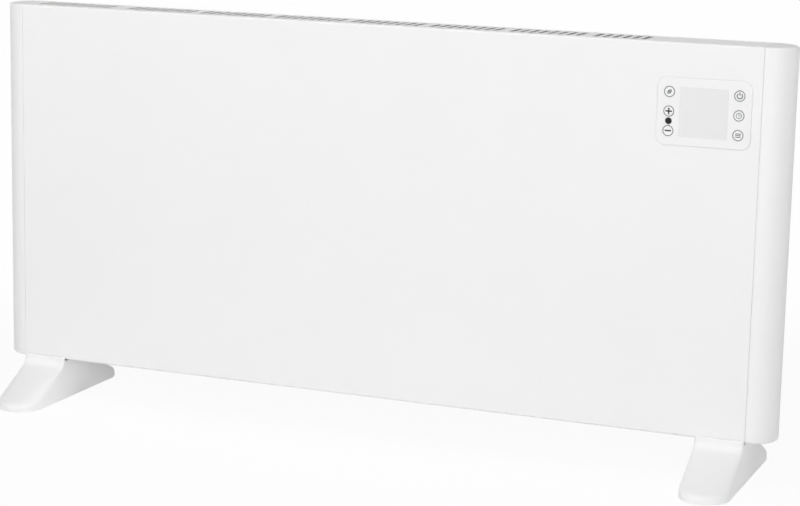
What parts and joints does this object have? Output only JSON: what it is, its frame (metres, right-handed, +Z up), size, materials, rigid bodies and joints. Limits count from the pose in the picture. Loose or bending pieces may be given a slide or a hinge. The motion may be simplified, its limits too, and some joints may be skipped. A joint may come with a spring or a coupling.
{
  "type": "panel convector heater",
  "caption": "Free-standing electric panel convector with a flat steel front, rounded end caps, slotted top outlet, keyed display panel and two feet.",
  "frame": {"origin": "on the floor, under the middle of the casing", "axes": "+Z up, +X to the right of someone facing the front, the front faces -Y"},
  "size_m": [0.936, 0.22, 0.4675],
  "materials": {
    "enamelled_steel": "white epoxy powder coat, fine orange peel, satin gloss",
    "zinc_steel": "galvanised sheet and zinc-plated screws",
    "white_moulding": "white injection-moulded plastic, fine spark texture",
    "fascia_moulding": "white moulded plastic with a smooth satin face",
    "display_pane": "pale grey liquid crystal display behind a clear pane",
    "black_moulding": "black moulded plastic",
    "extruded_aluminium": "mill-finish extrusion",
    "ceramic": "unglazed steatite",
    "circuit_board": "green solder resist on glass-fibre board",
    "grommet_rubber": "moulded rubber"
  },
  "bodies": {
    "casing": {"front_panel": "enamelled_steel", "rear_panel": "enamelled_steel", "top_grille": "enamelled_steel", "bottom_grille": "enamelled_steel", "left_end_plate": "zinc_steel", "right_end_plate": "zinc_steel", "left_element_bracket": "zinc_steel", "right_element_bracket": "zinc_steel", "heat_shield": "zinc_steel", "compartment_wall": "zinc_steel", "left_front_foot_screw": "zinc_steel", "left_rear_foot_screw": "zinc_steel", "right_front_foot_screw": "zinc_steel", "right_rear_foot_screw": "zinc_steel", "left_end_cap": "white_moulding", "right_end_cap": "white_moulding", "left_foot": "white_moulding", "right_foot": "white_moulding", "control_housing": "white_moulding", "control_fascia": "fascia_moulding", "display_window": "display_pane", "lcd_module": "display_pane", "ir_window": "black_moulding", "mains_switch_body": "black_moulding", "cord_gland": "black_moulding", "board_carrier": "black_moulding", "room_sensor": "black_moulding", "thermal_cutout": "black_moulding", "lower_heating_element": "extruded_aluminium", "upper_heating_element": "extruded_aluminium", "lower_left_bush": "ceramic", "lower_right_bush": "ceramic", "upper_left_bush": "ceramic", "upper_right_bush": "ceramic", "terminal_block": "ceramic", "thermal_fuse": "ceramic", "control_board": "circuit_board", "power_board": "circuit_board", "lead_grommet": "grommet_rubber"},
    "economy_key": {"economy_key": "fascia_moulding"},
    "plus_key": {"plus_key": "fascia_moulding"},
    "minus_key": {"minus_key": "fascia_moulding"},
    "power_key": {"power_key": "fascia_moulding"},
    "timer_key": {"timer_key": "fascia_moulding"},
    "menu_key": {"menu_key": "fascia_moulding"},
    "mains_rocker": {"mains_rocker": "black_moulding"}
  },
  "joints": [
    {"name": "economy_key_press", "type": "slide", "parent": "casing", "child": "economy_key", "axis": [0, 1, 0], "range_m": [0, 0.0006], "stiffness_N_per_m": 400},
    {"name": "plus_key_press", "type": "slide", "parent": "casing", "child": "plus_key", "axis": [0, 1, 0], "range_m": [0, 0.0006], "stiffness_N_per_m": 400},
    {"name": "minus_key_press", "type": "slide", "parent": "casing", "child": "minus_key", "axis": [0, 1, 0], "range_m": [0, 0.0006], "stiffness_N_per_m": 400},
    {"name": "power_key_press", "type": "slide", "parent": "casing", "child": "power_key", "axis": [0, 1, 0], "range_m": [0, 0.0006], "stiffness_N_per_m": 400},
    {"name": "timer_key_press", "type": "slide", "parent": "casing", "child": "timer_key", "axis": [0, 1, 0], "range_m": [0, 0.0006], "stiffness_N_per_m": 400},
    {"name": "menu_key_press", "type": "slide", "parent": "casing", "child": "menu_key", "axis": [0, 1, 0], "range_m": [0, 0.0006], "stiffness_N_per_m": 400},
    {"name": "mains_rocker_tilt", "type": "hinge", "parent": "casing", "child": "mains_rocker", "pos_m": [0.35, 0.0265, 0.0925], "axis": [1, 0, 0], "range_deg": [0, 22]}
  ]
}
